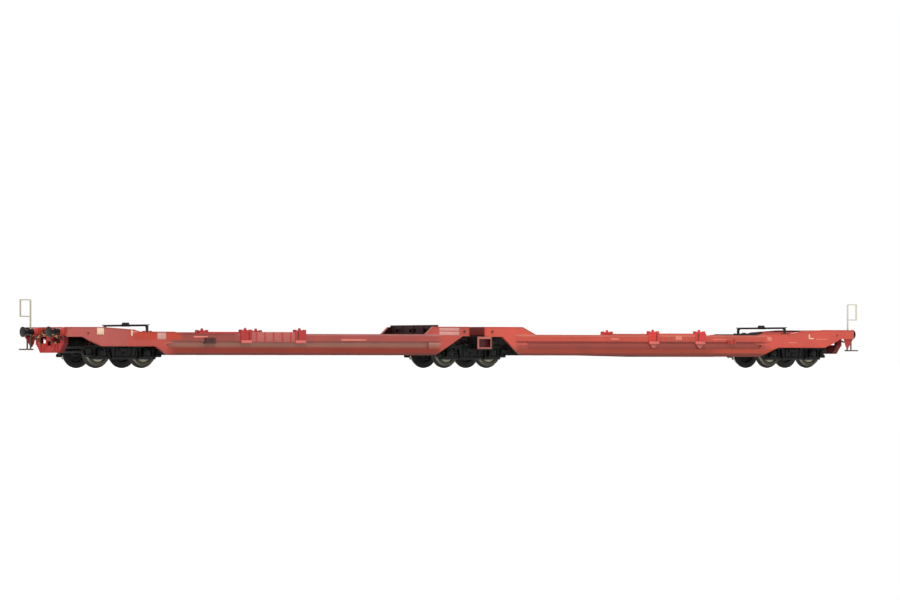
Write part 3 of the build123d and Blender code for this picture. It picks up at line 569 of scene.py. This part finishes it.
# Air hoses. Short moulded hoses with brass-coloured cocks, rigid pieces pushed into the
# headstock on each side of the hook; a second arm runs down and out toward the corner.
brass_plastic = plain("brass_coloured_moulding", "b9824e", "e2b88c", 0.4, 0.3, 0.008)
hose_brown = plain("dark_brown_soft_moulding", "3b2415", "5c3c26", 0.55, 0.4, 0.01)
cock = [(-0.2, 0), (-0.2, 0.42), (0.7, 0.42), (0.8, 0.55), (1.3, 0.55), (1.4, 0.3), (1.4, 0)]
cap = [(-0.3, 0), (-0.3, 0.42), (0.45, 0.42), (0.55, 0.3), (0.55, 0)]
joint = [(-0.7, 0), (-0.7, 0.55), (0.6, 0.5), (0.75, 0.3), (0.75, 0)]
hose_route = [(1.1, 0, 11.9), (1.9, 0, 11.7), (2.3, 0.3, 10.8)]
hose_route += [(2.2, 0.7, 9.7), (1.7, 1.3, 8.9), (1.3, 2.1, 8.9)]
arm_route = [(0.9, 0.2, 12.4), (1.1, 3.4, 11.2), (1.0, 8.0, 9.9)]
for unit in "ab":
    hoses = []
    for y, way in ((-3.6, -1), (3.6, 1)):
        hose_path = [(front + out, y + aside * way, z) for out, aside, z in hose_route]
        arm_path = [(front + out, y + aside * way, z) for out, aside, z in arm_route]
        block_y = y + 1.2 * way
        hoses += [
            turned(cock, (front, y, 11.9), (1, 0, 0), 14),
            slab((front + 0.75, y - 0.18, 11.9), (front + 1.15, y + 0.18, 13.0), 0.08),
            wire(hose_path, 0.33, 10, up=(0, 1, 0)),
            turned(cap, (front + 1.25, y + 2.3 * way, 8.95), (0, way, 0), 12),
            wire(arm_path, 0.34, 10, up=(0, 1, 0)),
            turned(joint, (front + 1.1, y + 3.4 * way, 11.2), (0, 0.94 * way, -0.34), 12),
            slab((front + 0.2, block_y - 0.5, 12.2), (front + 0.9, block_y + 0.5, 13.2), 0.15),
        ]
    hose = on_unit("air_hoses", unit, hoses, [brass_plastic, hose_brown], [0, 0, 1, 0, 1, 0, 0] * 2)

# Coupling box. Red polystyrene moulded in colour, a little pinker and more matt than the
# enamel, with a rim along the apron's foot and ribs beside the shaft pocket; behind its front
# face it is darkened with painted shade.
red_plastic = plain("moulded_red_polystyrene", "b53230", "dc7a70", 0.46, 0.25, 0.010, specular=0.4)
coupling_plastic, tree = blank("moulded_red_polystyrene_painted_shade_behind")
x = position(tree)[0]
# Painted shade: dark behind the front face.
shade = mix(tree, ramp(tree, maths(tree, "ABSOLUTE", x), 189.3, 189.9), "74201f", "c63a37")
painted(tree, shade, "a3453f", 0.55, 0.25, 0.010, specular=0.25)
finish(coupling_plastic, "coupling_box")
apron = 190.0                      # its outer face
for unit in "ab":
    ways = (-6.4, -4.2, 4.2, 6.4)
    ribs = [slab((apron - 0.1, y - 0.3, 5.3), (apron + 0.25, y + 0.3, 8.5), 0.08) for y in ways]
    ribs.append(slab((apron - 0.1, -7.0, 5.05), (apron + 0.25, 7.0, 5.5), 0.08))
    ribs.append(slab((apron - 0.1, -2.3, 9.9), (apron + 0.2, 2.3, 10.4), 0.08))
    ribs += [slab((apron - 0.1, y - 0.9, 8.2), (apron + 0.25, y + 0.9, 8.6), 0.08) for y in (-9.4, 9.4)]
    ribs += [bolt((apron, y, z), (1, 0, 0), 0.28, 0.18) for y in (-9.5, 9.5) for z in (9.2, 10.6)]
    ribs += [slab((apron - 0.1, y - 0.2, 7.2), (apron + 0.3, y + 0.2, 10.0), 0.06) for y in (-2.0, 2.0)]
    rib = on_unit("coupling_box_ribs", unit, ribs, [coupling_plastic])

# Buffers. Black acetal turned in one piece, pressed into a root cast on the beam and painted
# with it: a ribbed sleeve, a plunger and a slightly domed round head.
buffer_black = plain("turned_black_acetal", "080808", "2a2a2a", 0.42, 0.3, 0.006, specular=0.28)
root = [(0.15, 0), (0.15, 1.7), (0.95, 1.7), (1.05, 1.38), (2.2, 1.34), (2.2, 0)]
sleeve = [(2.2, 0), (2.2, 1.33), (3.6, 1.3), (3.7, 1.42), (4.1, 1.42), (4.2, 0.95), (5.9, 0.9)]
sleeve += [(6.2, 1.1), (6.35, 1.9), (6.45, 2.03), (6.85, 2.04), (7.0, 1.9), (7.1, 1.2), (7.14, 0)]
for unit in "ab":
    pair = []
    for profile in (root, sleeve):
        pair += [turned(profile, (front, y, buffer_z), (1, 0, 0), 40) for y in buffer_sides]
    buffers = on_unit("turned_buffers", unit, pair, [buffer_black, red_enamel], [1, 1, 0, 0])
    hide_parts("buffers_" + unit)

# Grab irons. Bent wire under each buffer, blackened, its ends in the beam.
for unit in "ab":
    bends = ((189.0, -2.35), (190.6, -2.35), (190.6, 2.35), (189.0, 2.35))
    bars = [wire([(x, y + dy, 11.33) for x, dy in bends], 0.12) for y in buffer_sides]
    irons = on_unit("bent_grab_irons", unit, bars, [hook_black])
    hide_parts("grab_irons_" + unit)

# Handrail. Springy acetal in pale beige, moulded as round wire: a post on the headstock's
# corner and an open loop that reaches out over the buffer.
corner_y = -15.0
post_x, tip_x = 189.75, front + 4.9
sleeve_ring = [(-0.3, 0), (-0.3, 0.34), (0.3, 0.34), (0.3, 0)]
for unit, tone in (("a", "b9b6a2"), ("b", "d9d1bf")):
    ivory_plastic = plain("moulded_beige_acetal_" + unit, tone, "ddd8c6", 0.42, 0.3, 0.006)
    bends = ((post_x, 25.75), (tip_x, 25.75), (tip_x, 19.3), (post_x, 19.3))
    loop = [
        wire([(post_x, corner_y, 11.7), (post_x, corner_y, 25.65)], 0.35, 10, up=(0, 1, 0)),
        wire([(x, corner_y, z) for x, z in bends], 0.22, 10, up=(0, 1, 0)),
        wire([(tip_x, corner_y, 19.15), (tip_x, corner_y, 25.9)], 0.34, 10, up=(0, 1, 0)),
    ]
    loop += [turned(sleeve_ring, (post_x, corner_y, z), (0, 0, 1), 10) for z in (12.4, 14.4)]
    rail = on_unit("wire_handrail", unit, loop, [ivory_plastic])
    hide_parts("handrail_" + unit)

# Corner step. A tapered red bracket under the cheek's nose, two thin hangers and an open
# grating with a rim, moulded in dark beige.
step_plastic = plain("moulded_dark_beige_acetal", "5c5646", "8c856e", 0.46, 0.3, 0.006)
bracket = [(186.2, 11.3), (191.2, 11.3), (190.4, 8.6), (189.6, 7.2), (188.9, 7.2), (187.6, 9.2)]
for unit in "ab":
    y, x0, x1, z = corner_y, 189.3, 194.0, 6.35
    bars = [slab((x0, y + dy - 0.15, z - 0.27), (x1, y + dy + 0.15, z + 0.27), 0.06) for dy in (-1.5, 1.5)]
    bars += [slab((x, y - 1.65, z - 0.27), (x + 0.3, y + 1.65, z + 0.27), 0.06) for x in (x0, x1 - 0.3)]
    grating = np.arange(x0 + 0.8, x1 - 0.5, 0.62)
    bars += [slab((x, y - 1.5, z - 0.1), (x + 0.18, y + 1.5, z + 0.1), 0.04) for x in grating]
    bars += [slab((x0 + 0.9, y + dy - 0.22, z), (x0 + 1.4, y + dy + 0.22, 11.4), 0.08) for dy in (-1.3, 1.3)]
    picked = [0] * len(bars) + [1]
    bars.append(plate(bracket, (188.9, 10.0), y - 1.2, y - 1.45))
    step = on_unit("grating_step", unit, bars, [step_plastic, red_plastic], picked)
    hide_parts("step_" + unit)

# Box carriers. Moulded red blocks clipped over the sill: a base with a slot drawn as a dark
# strip of painted shade, a foot rubbed paler, a round spigot on top, and ribbed panels
# between them, pink on unit a.
pink_plastic = plain("moulded_pink_red_polystyrene", "b8635c", "d9958c", 0.48, 0.25, 0.010, specular=0.4)
foot_pink = plain("worn_pink_foot_polystyrene", "dd706a", "eda79e", 0.46, 0.25, 0.010, specular=0.4)
bright_plastic = plain("moulded_bright_red_polystyrene", "da3a33", "ea8276", 0.46, 0.25, 0.010, specular=0.4)
spigot = [(0, 0), (0, 0.62), (0.5, 0.58), (0.85, 0.36), (0.88, 0)]
finish(red_plastic, "carriers", letters="a")
for unit, first, second, red in (("a", 85.2, 110.5, red_plastic), ("b", 87.4, 111.0, bright_plastic)):
    coats = [red, pink_plastic, foot_pink, painted_hole_shade, sill_paints["b"], inks[2]]
    parts, tones = [], []
    for x, toward in ((first, 1), (second, -1)):
        slot_x = x + 1.2 * toward
        parts += [
            slab((x - 2.5, 17.2, 10.1), (x + 2.5, 17.42, 13.7), 0.08),
            slab((x - 2.4, 17.2, 8.95), (x + 2.4, 17.45, 10.0), 0.08),
            # The slot is a dark strip of painted shade.
            slab((slot_x - 0.25, 17.3, 10.3), (slot_x + 0.25, 17.46, 13.4), 0.05),
            slab((x - 2.6, 15.5, 13.9), (x - 1.9, 17.3, 14.25), 0.08),
            slab((x + 1.9, 15.5, 13.9), (x + 2.6, 17.3, 14.25), 0.08),
            turned(spigot, (x, 16.25, 14.0), (0, 0, 1), 16),
            bolt((x - 1.6, 17.42, 12.6), (0, 1, 0), 0.22, 0.06),
            bolt((x + 1.6, 17.42, 12.6), (0, 1, 0), 0.22, 0.06),
        ]
        tones += [0, 2, 3, 0, 0, 0, 0, 0]
        if unit == "b":
            gusset = [(x - 2.3, 9.25), (x + 2.3, 9.25), (x + 0.5, 7.1), (x - 0.5, 7.1)]
            parts.append(plate(gusset, (x, 8.6), 16.3, 16.95))
            tones.append(1)
    panel_tone = {"a": 1, "b": 4}[unit]
    pitch = (second - first - 5.2) / 10
    for k in range(10):
        x = first + 2.6 + pitch * (k + 0.5)
        parts.append(slab((x - 0.22, 17.1, 9.5), (x + 0.22, 17.36, 13.2), 0.07))
    parts.append(slab((first + 2.6, 17.12, 9.4), (second - 2.6, 17.2, 13.28), 0.03))
    tones += [panel_tone] * 11
    if unit == "b":
        parts.append(slab((98.2, 17.3, 10.5), (101.6, 17.4, 12.3), 0.04))
        parts += [slab((x - 2.6, 15.5, 12.6), (x + 2.6, 17.25, 14.0), 0.1) for x in (first, second)]
        parts += [slab((x - 2.6, 16.95, 8.9), (x + 2.6, 17.25, 12.8), 0.1) for x in (first, second)]
        parts.append(slab((first + 2.5, 15.5, 12.55), (second - 2.5, 17.15, 13.3), 0.1))
        tones += [5, 0, 0, 0, 0, panel_tone]
    clips = on_unit("box_carriers", unit, both_sides(parts), coats, tones * 2)
    if unit == "b":
        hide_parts("carriers_b")

# Changeover lever. A moulding in the sill's recess: a dial and two stub levers, brown on unit
# a and painted over with the red enamel on unit b.
lever_brown = plain("moulded_dark_brown_polystyrene", "4b2b28", "7a544c", 0.5, 0.25, 0.010, specular=0.35)
dial_x = 127.2
dial = [(-0.1, 0), (-0.1, 0.75), (0.15, 0.75), (0.2, 0.6), (0.2, 0)]
for unit, material in (("a", lever_brown), ("b", red_enamel)):
    stub_places = (dial_x - 1.55, dial_x + 1.55)
    stubs = [slab((x - 0.35, 17.2, 8.9), (x + 0.35, 17.48, 11.0), 0.12) for x in stub_places]
    stubs.append(turned(dial, (dial_x, 17.25, 9.6), (0, 1, 0), 18))
    lever = on_unit("lever_stubs", unit, both_sides(stubs), [material])
    finish(material, "brake_lever", letters=unit)

# Trestles. Moulded black polystyrene with a matt finish and a faint blue painted highlight on
# its edges: a ribbed beam on two thin legs, and a round lock plate with the kingpin's bore in
# it. The stop board beside the middle pivot has ribs, and its maroon-black is painted shade.
trestle_black = plain("matt_black_polystyrene", "15171b", "3a4049", 0.55, 0.22, 0.012, specular=0.35)
# The stop board's maroon-black is painted shade.
stop_board_painted_shade = plain("matt_maroon_black_painted_shade_polystyrene", "2a0f14", "5a2a2e", 0.55, 0.22, 0.012, specular=0.35)
finish(stop_board_painted_shade, "stop_board")
trestle_x = 155.5
lock_plate = [(15.3, 0.8), (15.3, 1.7), (15.72, 2.1), (16.1, 2.1), (16.2, 1.5), (16.75, 1.4)]
lock_plate += [(16.9, 1.25), (16.9, 0.95), (16.7, 0.8), (15.3, 0.8)]
for unit in "ab":
    x = trestle_x
    grids = []
    for way, reach in ((-1, 143.4), (1, 138.4)):
        y = 16.25 * way
        knee_y = y - 0.75 * way
        beam_low, beam_high = sorted((1.2 * way, 16.4 * way))
        web_low, web_high = sorted((1.2 * way, 16.2 * way))
        grids += [
            slab((x - 2.0, y - 0.6, 13.3), (x + 2.0, y + 0.6, 13.52), 0.08),
            bolt((x - 1.5, y, 13.52), (0, 0, 1), 0.25, 0.12),
            bolt((x + 1.5, y, 13.52), (0, 0, 1), 0.25, 0.12),
            slab((x - 0.5, y - 0.3, 13.4), (x + 0.5, y + 0.3, 15.6), 0.12),
            slab((x - 0.2, knee_y - 0.5, 15.0), (x + 0.2, knee_y + 0.5, 15.5), 0.08),
            slab((x - 1.1, beam_low, 15.72), (x + 1.1, beam_high, 16.1), 0.12),
            slab((x - 0.45, web_low, 15.35), (x + 0.45, web_high, 15.8), 0.1),
        ]
        for rib_y in (3.6 * way, 6.6 * way, 9.6 * way, 12.6 * way):
            grids.append(slab((x - 0.95, rib_y - 0.2, 15.4), (x + 0.95, rib_y + 0.2, 15.8), 0.08))
        if unit == "b":
            grids += [
                slab((129.1, y - 0.6, 12.6), (reach, y + 0.6, 13.4), 0.15),
                slab((133.4, y - 0.5, 13.2), (135.0, y + 0.5, 13.75), 0.12),
                slab((reach - 5.6, y - 0.5, 13.2), (reach - 0.2, y + 0.5, 13.6), 0.12),
            ]
    grids.append(turned(lock_plate, (x, 0, 0), (0, 0, 1), 32))
    stand = on_unit("moulded_trestle", unit, grids, [trestle_black])
    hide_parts("trestle_" + unit)
board = [slab((19.0, y - 0.25, 12.7), (20.8, y + 0.25, 16.2), 0.08) for y in (-15.0, -7.5, 0.0, 7.5, 15.0)]
board.append(slab((19.0, -16.4, 16.15), (20.6, 16.4, 16.38), 0.08))
board.append(slab((19.5, -15.3, 12.8), (19.8, 15.3, 15.9), 0.05))
boards = on_unit("stop_board_ribs", "a", board, [stop_board_painted_shade])

# Bearers beside the middle pivot. Moulded red boxes, open outward, with a dull pink rim; the
# inside is dark red and the outsides near black, both painted shade like the bay they stand in.
bearer_x, bearer_z = 3.0, 9.3
bearer_plastic, tree = blank("moulded_red_polystyrene_pink_rim_painted_shade")
x, y, height = position(tree)
inset_x = maths(tree, "ABSOLUTE", maths(tree, "SUBTRACT", x, bearer_x / 1000))
inset_z = maths(tree, "ABSOLUTE", maths(tree, "SUBTRACT", height, bearer_z / 1000))
within = maths(tree, "MULTIPLY", ramp(tree, inset_x, 3.45, 3.35), ramp(tree, inset_z, 2.45, 2.35))
rim = maths(tree, "MULTIPLY", ramp(tree, maths(tree, "ABSOLUTE", y), 16.90, 16.97), within)
# Painted shade: dark red inside the box and near black outside it; the rim is dull pink.
shade = mix(tree, within, "160b0c", "560a0c")
painted(tree, mix(tree, rim, shade, "b2685c"), "c98678", 0.45, 0.25, 0.010, specular=0.4)
finish(bearer_plastic, "side_bearers")


# Bogies. Black polystyrene straight from the mould: deep blue-black, satin, with the fine
# grain of the spark-eroded tool. Rims, ribs and bolts stand on each side frame.
def on_bogie(name, bogie, grids):
    """A black piece of one bogie, drawn about that bogie's pivot."""
    moved = [g + (bogies[bogie], 0, 0) for g in grids]
    return weld(name + "_" + bogie, moved, [black_plastic], "bogie_" + bogie)


black_plastic, tree = blank("moulded_black_polystyrene")
painted(tree, "06090c", "1e262c", 0.42, 0.22, 0.012, specular=0.24, cloud_mm=4.0)
finish(black_plastic, "bogie_frame", "brake_gear", "axle_boxes")
bogies = {"a": -163.2, "m": 0.0, "b": 163.2}
axle_x, axle_z = 10.35, 5.3
for bogie in bogies:
    top_rim = [(-17.7, 11.75, 7.45), (-15.8, 11.75, 8.05), (15.8, 11.75, 8.05), (17.7, 11.75, 7.45)]
    window = [(-5.75, 11.72, 6.6), (-5.2, 11.72, 3.62), (5.2, 11.72, 3.62), (5.75, 11.72, 6.6)]
    boss = [(-0.1, 0), (-0.1, 0.8), (0.25, 0.75), (0.35, 0.5), (0.35, 0)]
    stop = [(0, 0), (0, 0.8), (0.25, 0.8), (0.35, 0.6), (0.35, 0)]
    trim = [
        carry(rounded(0.5, 0.24, 0.06), top_rim, up=(0, 1, 0)),
        carry(rounded(0.4, 0.24, 0.06), window, up=(0, 1, 0)),
        slab((-3.82, 11.5, 3.7), (-3.38, 11.92, 8.0), 0.07),
        slab((3.38, 11.5, 3.7), (3.82, 11.92, 8.0), 0.07),
        turned(boss, (0, 11.6, 4.6), (0, 1, 0), 20),
        slab((-2.2, 11.4, 5.6), (2.2, 11.95, 7.4), 0.2),
        slab((-5.6, 11.0, 2.55), (5.6, 11.95, 3.75), 0.25),
    ]
    trim += [slab((x - 1.4, 11.2, 3.3), (x + 1.4, 11.9, 4.6), 0.25) for x in (-15.6, 15.6)]
    trim += [bolt((x, 11.95, z), (0, 1, 0), 0.3, 0.2) for x in (-1.6, 1.6) for z in (6.0, 7.0)]
    trim += [bolt((x, 11.85, 7.6), (0, 1, 0), 0.24, 0.15) for x in (-14.2, -10.35, -6.5, 6.5, 10.35, 14.2)]
    trim += [slab((x - 1.0, 11.45, 5.5), (x + 1.0, 11.9, 7.2), 0.12) for x in (-16.2, 16.2)]
    trim += [turned(stop, (x, 11.1, 8.1), (0, 0, 1), 16) for x in (-1.5, 1.5)]
    frames = on_bogie("side_frame_trim", bogie, both_sides(trim))

# Axle boxes and springs. One moulding per axle end: a box with a round bolted cover between
# two coil springs in cups, and a damper link over it. Each coil is a wire of 0.4 millimetres
# wound along z + pitch * angle.
coil_angle = np.linspace(0, 2 * math.pi * 4, 4 * 14 + 1)
coil_rise = 3.75 + 3.0 * coil_angle / coil_angle[-1]
coil = np.stack([0.78 * np.cos(coil_angle), 0.78 * np.sin(coil_angle), coil_rise], -1)
cover = [(-0.2, 0), (-0.2, 1.33), (0.45, 1.33), (0.58, 1.15), (0.6, 0.75), (0.68, 0.7), (0.68, 0)]
spring_parts = (                   # core, upper cup and lower cup, with their steps
    ([(3.5, 0), (3.5, 0.45), (6.85, 0.45), (6.85, 0)], 12),
    ([(6.5, 0), (6.5, 0.98), (6.9, 1.0), (6.9, 0)], 20),
    ([(3.5, 0), (3.5, 1.0), (3.82, 0.98), (3.82, 0)], 20),
)
for bogie in bogies:
    boxes = []
    for x in (-axle_x, axle_x):
        box = [
            slab((x - 1.58, 10.42, 3.02), (x + 1.58, 12.08, 6.5), 0.25),
            slab((x - 4.0, 10.42, 2.5), (x + 4.0, 12.08, 3.58), 0.25),
            slab((x - 2.4, 11.6, 3.1), (x + 2.4, 12.25, 3.9), 0.2),
            slab((x - 1.1, 11.9, 6.3), (x + 1.1, 12.25, 7.1), 0.12),
            turned(cover, (x, 12.1, axle_z), (0, 1, 0), 28),
        ]
        for a in (np.arange(4) / 2 + 0.25) * math.pi:
            centre = (x + 1.02 * math.cos(a), 12.66, axle_z + 1.02 * math.sin(a))
            box.append(bolt(centre, (0, 1, 0), 0.17, 0.09))
        for spring_x in (x - 3.0, x + 3.0):
            box.append(wire(coil + (spring_x, 11.05, 0), 0.2, 6))
            for profile, steps in spring_parts:
                box.append(turned(profile, (spring_x, 11.05, 0), (0, 0, 1), steps))
        boxes += both_sides(box)
    sprung = on_bogie("sprung_axle_boxes", bogie, boxes)
    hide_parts("axle_boxes_" + bogie)

# Brake rigging. Hangers from the frame to each block and two pull rods near the middle, part
# of the same moulding.
for bogie in bogies:
    blocks = [end * (axle_x + way * 6.1) for end in (-1, 1) for way in (-1, 1)]
    rigging = both_sides([wire([(x, 8.9, 7.9), (x, 8.9, axle_z)], 0.25, up=(0, 1, 0)) for x in blocks])
    rigging.append(wire([(-16.8, 1.2, 6.0), (-4.0, 1.2, 6.0)], 0.22))
    rigging.append(wire([(4.0, -1.2, 6.0), (16.8, -1.2, 6.0)], 0.22))
    rig = on_bogie("brake_rigging", bogie, rigging)

# Wheelsets. Turned steel: a tyre gone olive-dark at its face, a bright tread, a bright web
# between tyre and hub that is a painted reflection, dark backs, and an axle that runs to stub
# ends in the boxes.
bright_steel_and_painted_reflection, tree = blank("turned_steel_and_painted_reflection")
place = {"Vector": node(tree, "ShaderNodeTexCoord").outputs["Object"]}
rings = node(tree, "ShaderNodeTexNoise", {"Scale": 1000 / 0.35, "Detail": 2.0}, place).outputs[0]
stain = node(tree, "ShaderNodeTexNoise", {"Scale": 1000 / 3.0, "Detail": 3.0}, place).outputs[0]
tone = mix(tree, stain, "c4c1b4", "97937f")
bump = node(tree, "ShaderNodeBump", {"Strength": 0.2, "Distance": 0.00001}, {"Height": rings})
steel = node(tree, "ShaderNodeBsdfPrincipled", {"Metallic": 1.0, "Roughness": 0.34},
             {"Base Color": tone, "Normal": bump.outputs[0]})
node(tree, "ShaderNodeOutputMaterial", links={"Surface": steel.outputs[0]})
olive_steel = plain("blackened_steel_rim", "45432f", "77745c", 0.5, 0.3, 0.006)
dark_steel = plain("blackened_steel", "1b1c1c", "3c3c38", 0.5, 0.3, 0.006)
shoulder = [(7.25, 3.9), (7.2, 4.3), (7.2, 6.05), (7.28, 6.25), (7.5, 6.28), (7.72, 6.1)]
shoulder += [(8.0, 5.45), (8.2, 5.3)]
tread = [(8.2, 5.3), (9.85, 5.26)]
rim_face = [(9.85, 5.26), (10.0, 5.1), (10.0, 4.0), (9.85, 3.85)]
# The web's bright steel is a painted reflection.
web = [(9.85, 3.85), (9.3, 3.7), (9.2, 2.3), (9.5, 1.9)]
hub = [(9.5, 1.9), (9.95, 1.75), (10.0, 1.6), (10.0, 0.6), (11.35, 0.55), (11.5, 0.4), (11.5, 0.0)]
back = [(7.25, 3.9), (7.9, 3.7), (8.0, 2.4), (7.4, 1.9), (7.2, 1.7), (7.2, 0.95), (5.6, 0.85), (0.0, 0.8)]
wheel_steels = [bright_steel_and_painted_reflection, olive_steel, dark_steel]
wheel_parts = ((shoulder, 2), (tread, 0), (rim_face, 1), (web, 0), (hub, 2), (back, 2))
for bogie, pivot_x in bogies.items():
    for number, end in (("1", -1), ("2", 1)):
        centre = (pivot_x + end * axle_x, 0, axle_z)
        grids, picked = [], []
        for profile, tone in wheel_parts:
            grids += [turned(profile, centre, (0, way, 0), 56) for way in (1, -1)]
            picked += [tone, tone]
        name = bogie + number
        wheels = weld("turned_wheels_" + name, grids, wheel_steels, "wheelset_" + name, picked)
        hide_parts("wheelset_" + name)
